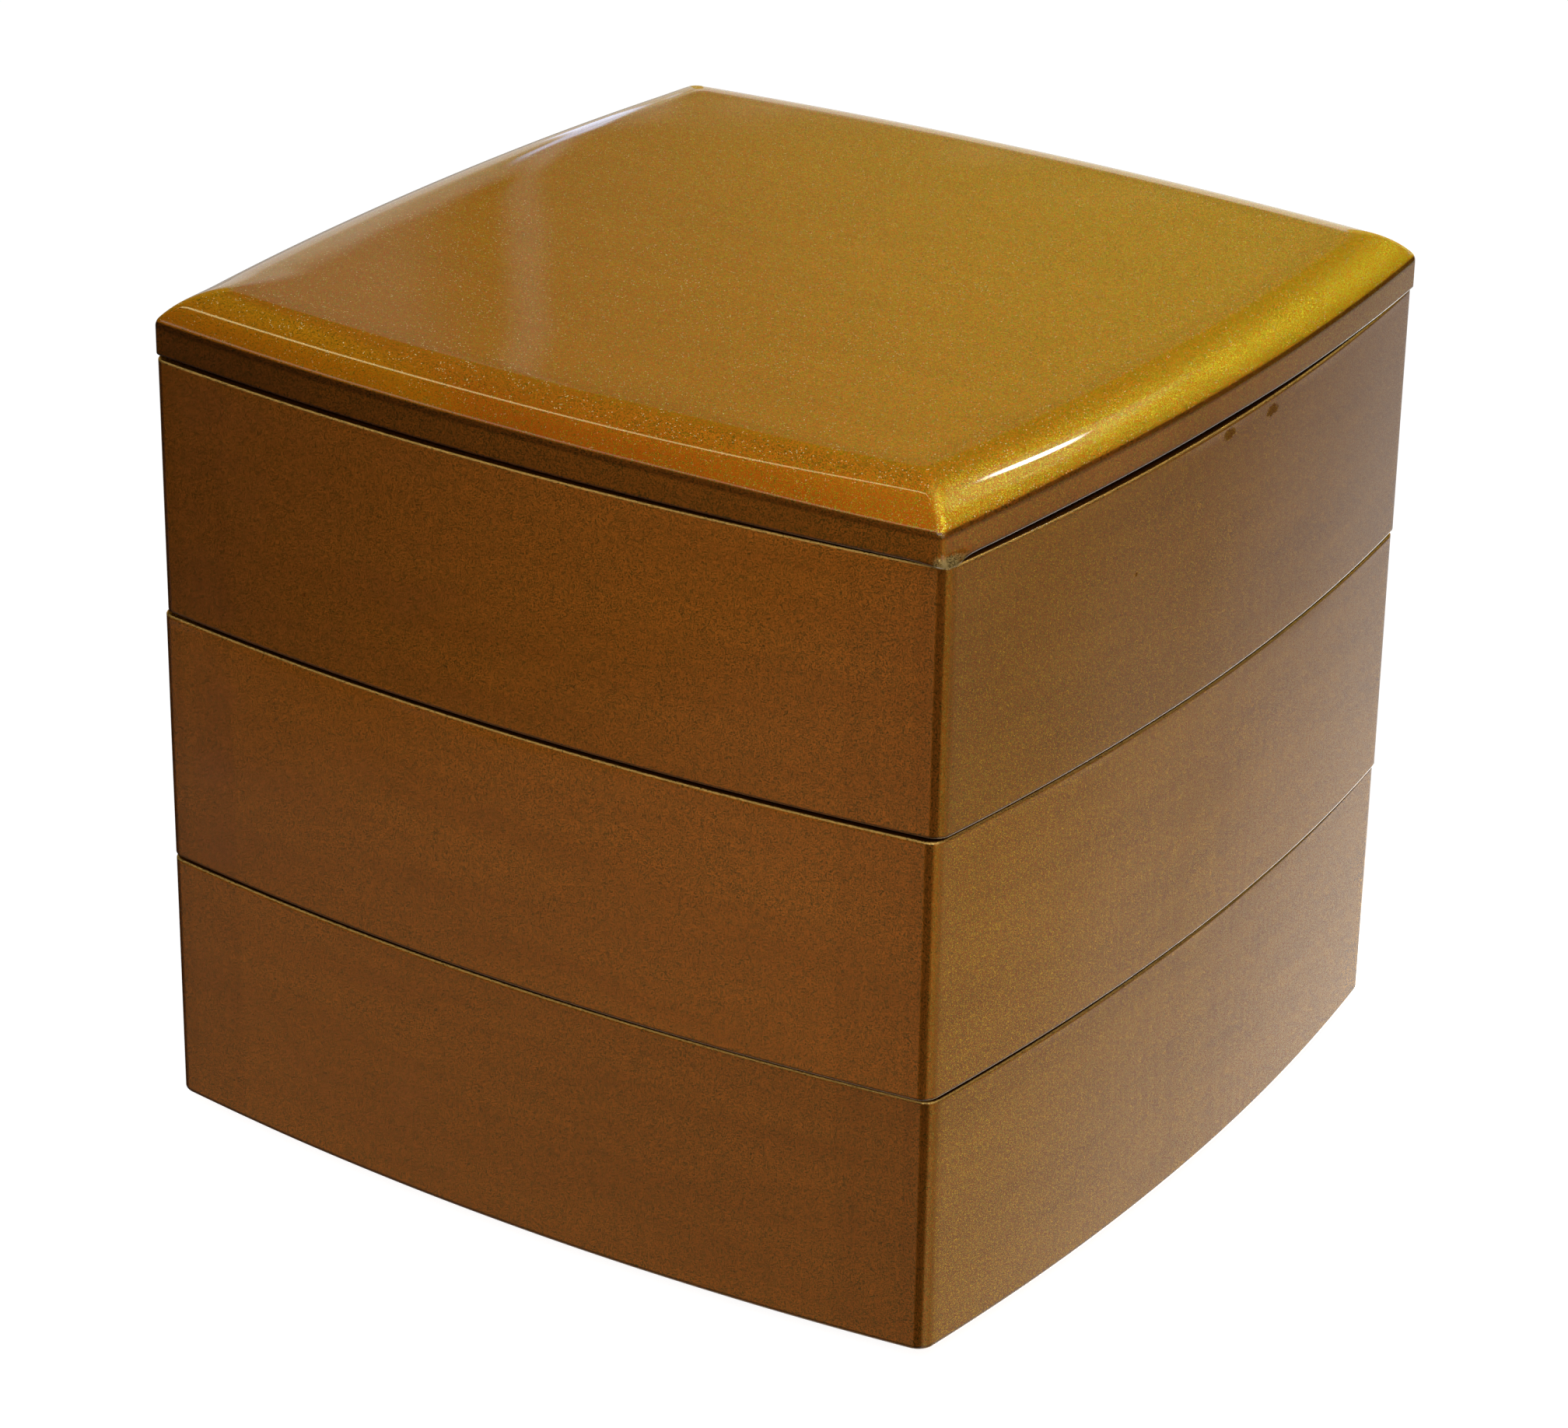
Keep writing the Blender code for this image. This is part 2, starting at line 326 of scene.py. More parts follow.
def lidRings(low, top, trayHalf):
    shape = lidShape
    half = trayHalf + shape["overhang"]
    steps = fineness["roundSteps"]
    edge = shape["edgeRound"]
    lowerEdge = low + shape["plugDrop"] + shape["seamLift"]
    arris = lowerEdge + shape["skirtHeight"]
    slope = shape["shoulderSlope"]
    lean = math.pi / 2.0 - slope
    startInset = shape["arrisRound"] * (1.0 - math.cos(lean))
    startHeight = arris - shape["arrisRound"] * (1.0 - math.sin(lean))
    shoulderRise = top - startHeight
    arc = shoulderRise / (1.0 - math.cos(slope))
    shoulderWidth = arc * math.sin(slope)
    topInset = startInset + shoulderWidth

    def at(inset, height, radius, shrink=1.0, **marks):
        return ring(bowedOutline(half, shape["bow"], inset, radius, shrink), height, **marks)

    def plugAt(inset, height, radius, shrink=1.0, **marks):
        return ring(bowedOutline(trayHalf, trayShape["sideBow"], inset, radius, shrink), height, **marks)

    rings = []
    for share in shape["topShares"]:
        rings.append(at(topInset, top, shape["shoulderRadius"], share, fall=-half * (1.0 - share), cover=1.0))
    for step in range(shape["shoulderSteps"] + 1):
        here = slope * step / shape["shoulderSteps"]
        across = arc * math.sin(here)
        share = across / shoulderWidth
        radius = shape["shoulderRadius"] + (shape["cornerRadius"] - shape["shoulderRadius"]) * share
        height = startHeight + shoulderRise - arc * (1.0 - math.cos(here))
        rings.append(at(topInset - across, height, radius, fall=arc * here, cover=1.0))
    for step in range(1, shape["arrisSteps"] + 1):
        share = step / shape["arrisSteps"]
        turn = lean * (1.0 - share)
        inset = shape["arrisRound"] * (1.0 - math.cos(turn))
        height = arris - shape["arrisRound"] * (1.0 - math.sin(turn))
        rings.append(at(inset, height, shape["cornerRadius"], fall=arc * slope, cover=1.0 - share,
                        skirt=smooth(share, *shape["arrisSpan"]), arris=smooth(share, *shape["arrisSpan"])))
    skirtTop = arris - shape["arrisRound"]
    skirtLow = lowerEdge + shape["lipRound"]
    for height in spaced(skirtTop, skirtLow, shape["skirtGap"]):
        share = (skirtTop - height) / (skirtTop - skirtLow)
        rings.append(at(0.0, height, shape["cornerRadius"], skirt=1.0, hem=share,
                        arris=1.0 - smooth(share, 0.0, shape["arrisFade"])))
    for step in range(steps + 1):
        turn = math.pi / 2.0 * step / steps
        inset = shape["lipRound"] * (1.0 - math.cos(turn))
        height = lowerEdge + shape["lipRound"] * (1.0 - math.sin(turn))
        rings.append(at(inset, height, shape["cornerRadius"], skirt=1.0, lip=1.0, hem=1.0))
    plugInset = trayShape["wall"] + shape["plugGap"]
    rings.append(plugAt(plugInset, lowerEdge, shape["plugRadius"], inside=1.0))
    for step in range(steps + 1):
        turn = math.pi / 2.0 * step / steps
        rings.append(plugAt(plugInset + edge * (1.0 - math.cos(turn)), low + edge * (1.0 - math.sin(turn)),
                            shape["plugRadius"], inside=1.0))
    hollowInset = plugInset + shape["plugWall"]
    for step in range(steps + 1):
        turn = math.pi / 2.0 * step / steps
        rings.append(plugAt(hollowInset - edge * (1.0 - math.sin(turn)), low + edge * (1.0 - math.cos(turn)),
                            shape["plugRadius"], inside=1.0))
    ceiling = top - shape["shellDepth"]
    fillet = shape["hollowFillet"]
    for height in spaced(low + edge, ceiling - fillet, shape["hollowGap"]):
        rings.append(plugAt(hollowInset, height, shape["plugRadius"], inside=1.0))
    for step in range(steps + 1):
        turn = math.pi / 2.0 * step / steps
        inward = fillet * (1.0 - math.cos(turn))
        rings.append(plugAt(hollowInset + inward, ceiling - fillet * (1.0 - math.sin(turn)),
                            max(shape["plugRadius"] - inward, fineness["leastRadius"]), inside=1.0))
    for share in trayShape["floorShares"]:
        rings.append(plugAt(hollowInset + fillet, ceiling, shape["plugRadius"] - fillet, share, inside=1.0))
    return rings


def makeLid(name, seed):
    lowCorner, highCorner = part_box(name)
    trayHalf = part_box("top_tier")[1].x - trayShape["sideBow"]
    slot, soft, dip, bead = (lidShape[key] for key in ("slot", "farSoft", "dip", "bead"))
    lowerEdge = lowCorner.z + lidShape["plugDrop"] + lidShape["seamLift"]

    def near(place, spot):
        # 1 at a spot of the outline, fading with its reach
        away = (Vector((place.x, place.y)) - Vector(spot["place"])).length / spot["reach"]
        return math.exp(-away * away)

    def reshape(place, out, marks):
        moved = place.copy()
        if marks.get("inside"):
            return moved
        wave = ripple(place, lidShape["rippleReach"], lidShape["rippleLength"], seed)
        onTop = smooth(-marks.get("fall", 1.0), *lidShape["topSpan"])
        moved += out * wave * (1.0 - onTop)
        moved.z += wave * onTop
        farSide = smooth(-place.x - abs(place.y), 0.0, soft["corner"])
        farSide *= 1.0 - soft["weaker"] * smooth(place.y, *soft["weakerSpan"])
        if farSide and marks.get("cover"):
            run = marks["fall"] / soft["reach"]
            drop = max(1.0 + run, 0.0) ** 2 if run < 0.0 else 1.0 + 2.0 * min(run, soft["carry"])
            moved.z -= soft["down"] * drop * farSide * marks["cover"]
        hem = marks.get("hem", 0.0)
        opening = smooth(hem, *lidShape["hemSpan"])
        if opening and place.x > abs(place.y) * slot["side"]:
            opened = smooth(place.y, *slot["opens"])
            closed = smooth(place.y, *slot["closes"])
            moved.z += slot["lift"] * opened * (1.0 - closed) * opening
        low = smooth(lowerEdge + bead["height"] - place.z, 0.0, bead["height"])
        swelling = near(place, bead) * low * marks.get("skirt", 0.0)
        moved += out * bead["out"] * swelling
        moved.z -= bead["down"] * swelling * marks.get("lip", 0.0)
        if marks.get("cover"):
            hanging = smooth(marks.get("fall", 0.0), *dip["fallSpan"])
        else:
            hanging = 1.0 - smooth(hem, 0.0, dip["hemEnd"])
        moved.z -= dip["down"] * near(place, dip) * hanging
        return moved

    piece = shell(name + "_lacquered", lidRings(lowCorner.z, highCorner.z, trayHalf), reshape)
    settle(piece, lidRest)
    print("lid made:", piece.name, len(piece.data.polygons), "faces")
    return piece


# Shader building blocks

def addNode(tree, kind, values=None, links=None, **options):
    made = tree.nodes.new(kind)
    for key, value in options.items():
        setattr(made, key, value)
    for key, value in (values or {}).items():
        made.inputs[key].default_value = value
    for key, source in (links or {}).items():
        tree.links.new(source, made.inputs[key])
    return made


def addMath(tree, operation, first, second=None, clamp=False):
    made = tree.nodes.new("ShaderNodeMath")
    made.operation = operation
    made.use_clamp = clamp
    for socket, value in zip(made.inputs, (first, second)):
        if isinstance(value, bpy.types.NodeSocket):
            tree.links.new(value, socket)
        elif value is not None:
            socket.default_value = value
    return made.outputs[0]


def addRange(tree, value, fromLow, fromHigh, toLow=0.0, toHigh=1.0):
    made = addNode(tree, "ShaderNodeMapRange", interpolation_type="SMOOTHSTEP")
    for key, part in (("Value", value), ("From Min", fromLow), ("From Max", fromHigh),
                      ("To Min", toLow), ("To Max", toHigh)):
        if isinstance(part, bpy.types.NodeSocket):
            tree.links.new(part, made.inputs[key])
        else:
            made.inputs[key].default_value = part
    return made.outputs["Result"]


def addMix(tree, factor, first, second, blend="MIX"):
    made = addNode(tree, "ShaderNodeMix", data_type="RGBA", blend_type=blend)
    sockets = (made.inputs[0], made.inputs[6], made.inputs[7])
    for socket, value in zip(sockets, (factor, first, second)):
        if isinstance(value, bpy.types.NodeSocket):
            tree.links.new(value, socket)
        elif isinstance(value, (int, float)):
            socket.default_value = value
        else:
            socket.default_value = (*value, 1.0)
    return made.outputs[2]


def newGroup(name, inputs, outputs):
    group = bpy.data.node_groups.new(name, "ShaderNodeTree")
    for label, kind, value in inputs:
        socket = group.interface.new_socket(name=label, in_out="INPUT", socket_type=kind)
        if value is not None:
            socket.default_value = value
    for label, kind in outputs:
        group.interface.new_socket(name=label, in_out="OUTPUT", socket_type=kind)
    return group, group.nodes.new("NodeGroupInput"), group.nodes.new("NodeGroupOutput")


def placeGroup(tree, group, values=None, links=None):
    made = tree.nodes.new("ShaderNodeGroup")
    made.node_tree = group
    for key, value in (values or {}).items():
        made.inputs[key].default_value = value
    for key, source in (links or {}).items():
        tree.links.new(source, made.inputs[key])
    return made


def makeFlakeGroup():
    # gold powder under the lacquer: which cells are flakes, how bright, and how each one leans
    group, given, result = newGroup(
        "goldPowder",
        [("Vector", "NodeSocketVector", None), ("Flake Size", "NodeSocketFloat", 0.0003),
         ("Coverage", "NodeSocketFloat", 0.5), ("Lean", "NodeSocketFloat", 0.3),
         ("Glint Share", "NodeSocketFloat", 0.02)],
        [("Flake", "NodeSocketFloat"), ("Shade", "NodeSocketFloat"), ("Glint", "NodeSocketFloat"),
         ("Normal", "NodeSocketVector")])
    scale = addMath(group, "DIVIDE", 1.0, given.outputs["Flake Size"])
    cells = addNode(group, "ShaderNodeTexVoronoi", links={"Vector": given.outputs["Vector"], "Scale": scale})
    parts = addNode(group, "ShaderNodeSeparateColor", links={"Color": cells.outputs["Color"]})
    flake = addMath(group, "LESS_THAN", parts.outputs["Red"], given.outputs["Coverage"])
    limit = addMath(group, "SUBTRACT", 1.0, given.outputs["Glint Share"])
    glint = addMath(group, "GREATER_THAN", parts.outputs["Blue"], limit)
    centred = addNode(group, "ShaderNodeVectorMath", {1: (0.5, 0.5, 0.5)}, {0: cells.outputs["Color"]},
                      operation="SUBTRACT")
    amount = addMath(group, "MULTIPLY", given.outputs["Lean"], flake)
    leaning = addNode(group, "ShaderNodeVectorMath", None, {0: centred.outputs[0], "Scale": amount},
                      operation="SCALE")
    surface = addNode(group, "ShaderNodeNewGeometry")
    summed = addNode(group, "ShaderNodeVectorMath", None, {0: surface.outputs["Normal"], 1: leaning.outputs[0]},
                     operation="ADD")
    unit = addNode(group, "ShaderNodeVectorMath", None, {0: summed.outputs[0]}, operation="NORMALIZE")
    group.links.new(flake, result.inputs["Flake"])
    group.links.new(parts.outputs["Green"], result.inputs["Shade"])
    group.links.new(glint, result.inputs["Glint"])
    group.links.new(unit.outputs[0], result.inputs["Normal"])
    return group


brushLook = {"waverScale": 18.0, "waverDetail": 2.0, "detail": 4.0, "roughness": 0.6}


def makeBrushGroup():
    # streaks of a brush or a rubbing cloth, drawn out along the axis with the low number in Stretch
    group, given, result = newGroup(
        "brushStreaks",
        [("Vector", "NodeSocketVector", None), ("Stretch", "NodeSocketVector", (14.0, 14.0, 400.0)),
         ("Waver", "NodeSocketFloat", 0.002), ("Contrast", "NodeSocketFloat", 1.0)],
        [("Streak", "NodeSocketFloat")])
    slow = addNode(group, "ShaderNodeTexNoise",
                   {"Scale": brushLook["waverScale"], "Detail": brushLook["waverDetail"]},
                   {"Vector": given.outputs["Vector"]})
    centred = addNode(group, "ShaderNodeVectorMath", {1: (0.5, 0.5, 0.5)}, {0: slow.outputs["Color"]},
                      operation="SUBTRACT")
    bent = addNode(group, "ShaderNodeVectorMath", None,
                   {0: centred.outputs[0], "Scale": given.outputs["Waver"]}, operation="SCALE")
    moved = addNode(group, "ShaderNodeVectorMath", None, {0: given.outputs["Vector"], 1: bent.outputs[0]},
                    operation="ADD")
    drawn = addNode(group, "ShaderNodeVectorMath", None, {0: moved.outputs[0], 1: given.outputs["Stretch"]},
                    operation="MULTIPLY")
    lines = addNode(group, "ShaderNodeTexNoise",
                    {"Scale": 1.0, "Detail": brushLook["detail"], "Roughness": brushLook["roughness"]},
                    {"Vector": drawn.outputs[0]})
    away = addMath(group, "SUBTRACT", lines.outputs["Fac"], 0.5)
    stronger = addMath(group, "MULTIPLY", away, given.outputs["Contrast"])
    group.links.new(addMath(group, "ADD", stronger, 0.5, clamp=True), result.inputs["Streak"])
    return group


spotLook = {"raggedScale": 900.0, "raggedDetail": 2.0}


def makeSpotGroup():
    # one blemish: a soft, slightly ragged spot round a point
    group, given, result = newGroup(
        "spot",
        [("Vector", "NodeSocketVector", None), ("Centre", "NodeSocketVector", None),
         ("Squash", "NodeSocketVector", (1.0, 1.0, 1.0)), ("Radius", "NodeSocketFloat", 0.001),
         ("Softness", "NodeSocketFloat", 0.5)],
        [("Spot", "NodeSocketFloat")])
    away = addNode(group, "ShaderNodeVectorMath", None, {0: given.outputs["Vector"], 1: given.outputs["Centre"]},
                   operation="SUBTRACT")
    squashed = addNode(group, "ShaderNodeVectorMath", None, {0: away.outputs[0], 1: given.outputs["Squash"]},
                       operation="MULTIPLY")
    length = addNode(group, "ShaderNodeVectorMath", None, {0: squashed.outputs[0]}, operation="LENGTH")
    ragged = addNode(group, "ShaderNodeTexNoise",
                     {"Scale": spotLook["raggedScale"], "Detail": spotLook["raggedDetail"]},
                     {"Vector": given.outputs["Vector"]})
    push = addMath(group, "MULTIPLY", addMath(group, "SUBTRACT", ragged.outputs["Fac"], 0.5),
                   given.outputs["Radius"])
    distance = addMath(group, "ADD", length.outputs["Value"], push)
    hard = addMath(group, "SUBTRACT", 1.0, given.outputs["Softness"])
    inner = addMath(group, "MULTIPLY", given.outputs["Radius"], hard)
    spot = addRange(group, distance, given.outputs["Radius"], inner)
    group.links.new(spot, result.inputs["Spot"])
    return group


sideLook = {
    "jitterScale": 60.0,
    "jitterDetail": 3.0,
    "jitter": 0.0016,            # how far a joint between boards wanders
    "frontSpan": (-0.1, 0.1),    # how a normal turns from the right side to the front
    # which normals take the painted shade of the upright corners
    "cornerSpan": (-0.05, 0.25),
    "cornerEnd": (0.82, 0.55),
}


def makeSideGroup():
    # where on a bowed side a point lies: distance from the side's middle, and from the centre line
    group, given, result = newGroup(
        "sidePlace",
        [("Vector", "NodeSocketVector", None), ("Band Start", "NodeSocketFloat", 0.070),
         ("Band Soft", "NodeSocketFloat", 0.0006)],
        [("Along", "NodeSocketFloat"), ("Band", "NodeSocketFloat"), ("Corner", "NodeSocketFloat"),
         ("Front", "NodeSocketFloat")])
    parts = addNode(group, "ShaderNodeSeparateXYZ", links={"Vector": given.outputs["Vector"]})
    across = addMath(group, "ABSOLUTE", parts.outputs["X"])
    deep = addMath(group, "ABSOLUTE", parts.outputs["Y"])
    along = addMath(group, "MINIMUM", across, deep)
    wavy = addNode(group, "ShaderNodeTexNoise",
                   {"Scale": sideLook["jitterScale"], "Detail": sideLook["jitterDetail"]},
                   {"Vector": given.outputs["Vector"]})
    jitter = addMath(group, "MULTIPLY", addMath(group, "SUBTRACT", wavy.outputs["Fac"], 0.5), sideLook["jitter"])
    edge = addMath(group, "ADD", along, jitter)
    band = addRange(group, edge, given.outputs["Band Start"],
                    addMath(group, "ADD", given.outputs["Band Start"], given.outputs["Band Soft"]))
    surface = addNode(group, "ShaderNodeNewGeometry")
    facing = addNode(group, "ShaderNodeSeparateXYZ", links={"Vector": surface.outputs["Normal"]})
    frontness = addMath(group, "SUBTRACT", addMath(group, "ABSOLUTE", facing.outputs["Y"]),
                        addMath(group, "ABSOLUTE", facing.outputs["X"]))
    front = addRange(group, frontness, *sideLook["frontSpan"])
    band = addMath(group, "MULTIPLY", band, front)
    # the rounded upright corners, which the trays darken as painted shade
    corner = addMath(group, "MULTIPLY", addRange(group, frontness, *sideLook["cornerSpan"]),
                     addRange(group, frontness, *sideLook["cornerEnd"]))
    group.links.new(edge, result.inputs["Along"])
    group.links.new(front, result.inputs["Front"])
    group.links.new(band, result.inputs["Band"])
    group.links.new(corner, result.inputs["Corner"])
    return group


goldPowder = makeFlakeGroup()
brushStreaks = makeBrushGroup()
blemish = makeSpotGroup()
sidePlace = makeSideGroup()
print("shader groups made")


def newMaterial(name, finish):
    # metal powder and pigment under a clear coat
    material = bpy.data.materials.new(name)
    material.use_nodes = True
    tree = material.node_tree
    shader = tree.nodes["Principled BSDF"]
    shader.inputs["Coat Weight"].default_value = 1.0
    shader.inputs["Coat Roughness"].default_value = finish["coatRoughness"]
    shader.inputs["Coat IOR"].default_value = finish["coatIor"]
    shader.inputs["Specular IOR Level"].default_value = 0.0
    shader.inputs["Specular Tint"].default_value = (*finish["goldEdge"], 1.0)
    return material, tree, shader


def linkShader(tree, shader, finish, colour, metal, normal, coat):
    roughness = addRange(tree, metal, 0.0, 1.0, finish["pigmentRoughness"], finish["flakeRoughness"])
    for key, source in (("Base Color", colour), ("Metallic", metal), ("Roughness", roughness),
                        ("Normal", normal), ("Coat Weight", coat)):
        tree.links.new(source, shader.inputs[key])


trayFinish = {
    "pigment": (0.56, 0.154, 0.015),
    "pigmentDark": (0.40, 0.107, 0.010),
    # painted light: the sides facing right and left are painted less red than the front and back
    "rightLightTint": (0.885, 0.955, 1.02),
    "gold": (0.60, 0.36, 0.05),
    "goldEdge": (1.0, 0.60, 0.10),
    "flakeSize": 0.00011,
    "coverage": 0.42,
    "lean": 0.30,
    "flakeRoughness": 0.30,
    "pigmentRoughness": 0.80,
    "coatRoughness": 0.03,
    "coatIor": 1.5,
    "bandStart": 0.0712,         # the ends of the side boards show on the front and back
    "bandSoft": 0.0010,
    "bandTone": 0.93,
    "edgeStart": 0.0848,         # darker strip beside the upright edges
    "edgeSoft": 0.0016,
    "edgeTone": 0.93,
    # painted shade on the rounded upright corners
    "cornerShade": 0.50,
    # painted highlight: the rounded outer edge of each rim is painted light tan
    "rimHighlight": (0.66, 0.42, 0.11),
    "rimCoat": 0.12,
    "rimShare": 0.80,
    "seamShade": 0.10,            # painted shade: the flat rim and the lower lips are painted nearly black, for the shade in the joints
    "lipShade": 0.35,
    "shade": (0.75, 1.15),       # darkest and lightest flakes
    "streakShare": 0.46,
    "cloudShare": 0.50,
    "cloudStretch": (18.0, 18.0, 140.0),
    "grainPowder": 0.12,         # how much more powder lies on the light figure
    "level": {"Stretch": (14.0, 14.0, 260.0), "Waver": 0.022, "Contrast": 2.4},
    "upright": {"Stretch": (520.0, 520.0, 12.0), "Contrast": 2.0},
    "stainCoat": 0.15,
    # painted light and shade: how light each piece is, front at its left and right end, right side at its near and far
    # end
    "paintedShading": {
        "bottom_tier": {"front": (1.12, 0.94), "right": (1.08, 0.60)},
        "middle_tier": {"front": (1.02, 1.11), "right": (1.16, 0.63)},
        "top_tier": {"front": (0.70, 1.05), "right": (0.96, 0.62)},
        "lid": {"front": (0.33, 0.66), "right": (0.99, 0.72)},
    },
    # small stains on the top tier: centre, squash, radius, how dark
    "stains": {
        "underLidFar": ((0.0974, 0.0186, 0.1628), (1.0, 0.42, 1.0), 0.0014, 0.55),
        "underLidNear": ((0.0975, 0.0006, 0.1636), (1.0, 0.45, 0.9), 0.0013, 0.60),
        "speckFront": ((-0.0514, -0.0955, 0.1268), (1.0, 1.0, 1.0), 0.0006, 0.50),
        "speckRight": ((0.0968, -0.0324, 0.1457), (1.0, 1.0, 1.0), 0.0006, 0.55),
    },
}

lidFinish = {
    "pigment": (0.63, 0.192, 0.009),
    "pigmentDark": (0.52, 0.150, 0.007),
    "frontShadeTint": (0.72, 0.54, 0.40),     # painted shade: the front shoulder is painted redder
    "frontSpan": (-0.20, -0.72),
    "backSheenTint": (1.12, 1.50, 0.85),      # and a painted sheen makes the one at the far left more golden
    "backSpan": (-0.012, -0.034),
    "gold": (0.60, 0.53, 0.030),
    "goldEdge": (1.0, 0.80, 0.25),
    "shade": (0.86, 1.08),
    # painted glints: bright specks that stand in for flakes catching the light
    "paintedGlint": (1.0, 0.86, 0.42),
    "flakeSize": 0.00013,
    # painted light: the powder grows denser and the top lighter from the left corner to the right one, for the light
    # falling from the right
    "coverage": (0.28, 0.65),    # at the left corner and at the right corner
    "tone": (0.85, 1.60),
    "diagonalSpan": (-0.10, 0.10),
    "frontPowder": 0.60,         # share of the powder on the front shoulder, thinned there as painted shade
    "borderShade": 0.93,              # painted shade: darker line round the flat top
    "borderBegins": (-0.0045, -0.0015),
    "borderEnds": (0.0020, -0.0005),
    "arrisTone": 0.55,
    "lean": 0.38,
    # size and share of the painted glints, fewer on the front shoulder
    "speckSize": 0.00018,
    "specks": 0.012,
    "frontSpecks": 0.30,
    "cornerCoat": 0.12,          # the coat is rubbed thin where the shoulder turns a corner
    "cornerSpan": (0.18, 0.34),
    # the drop of lacquer: where it lies, its painted highlight and its thinner coat
    "beadSpot": {"centre": (0.0907, -0.0882, 0.1664), "squash": (1.0, 0.50, 1.3), "radius": 0.0026},
    "beadHighlight": (0.37, 0.245, 0.08),
    "beadCoat": 0.30,
    "lipReflection": (0.95, 0.87, 0.78),       # painted reflection: the lower edge of the skirt is painted light on the right
    "lipBegins": (-0.04, -0.14),
    "lipEnds": (-0.86, -0.72),
    "lipSide": (0.10, 0.30),
    "flakeRoughness": 0.37,
    "pigmentRoughness": 0.80,
    "coatRoughness": 0.03,
    "coatIor": 1.5,
    "streakShare": 0.50,
    "cloudShare": 0.35,
    "cloudStretch": (22.0, 50.0, 50.0),
    "level": {"Stretch": (8.0, 320.0, 320.0), "Waver": 0.010, "Contrast": 2.2},
}

# Where along a side its painted light and shade run from the first value to the second, and how strongly clouds show
paintedShadingSpans = {"front": (-0.09, 0.07), "right": (-0.09, 0.09)}
cloudSpan = (0.28, 0.72)


def addMark(tree, name):
    return addNode(tree, "ShaderNodeAttribute", attribute_name=name).outputs["Fac"]


def addFade(tree, value, end):
    # 1 where the value is 0, the given end where it is 1
    return addRange(tree, value, 0.0, 1.0, 1.0, end)


def multiply(tree, first, *others):
    for other in others:
        first = addMath(tree, "MULTIPLY", first, other)
    return first


def darken(tree, colour, amount):
    return addMix(tree, 1.0, colour, amount, "MULTIPLY")


def addPaintedShading(tree, place, front, paintedShading):
    # painted light and shade: lightness along the front and along the right side
    parts = addNode(tree, "ShaderNodeSeparateXYZ", links={"Vector": place})
    frontTone = addRange(tree, parts.outputs["X"], *paintedShadingSpans["front"], *paintedShading["front"])
    rightTone = addRange(tree, parts.outputs["Y"], *paintedShadingSpans["right"], *paintedShading["right"])
    return addMix(tree, front, rightTone, frontTone)


def addGrain(tree, streak, place, finish):
    # 0 to 1: wood figure that shows through, with slow clouds
    drawn = addNode(tree, "ShaderNodeVectorMath", {1: finish["cloudStretch"]}, {0: place}, operation="MULTIPLY")
    cloud = addNode(tree, "ShaderNodeTexNoise", {"Scale": 1.0, "Detail": 3.0, "Roughness": 0.5},
                    {"Vector": drawn.outputs[0]})
    clouds = addMath(tree, "MULTIPLY", addRange(tree, cloud.outputs["Fac"], *cloudSpan), finish["cloudShare"])
    streaks = addMath(tree, "MULTIPLY", streak, finish["streakShare"])
    rest = 0.5 - 0.5 * (finish["cloudShare"] + finish["streakShare"])
    return addMath(tree, "ADD", addMath(tree, "ADD", clouds, streaks), rest, clamp=True)


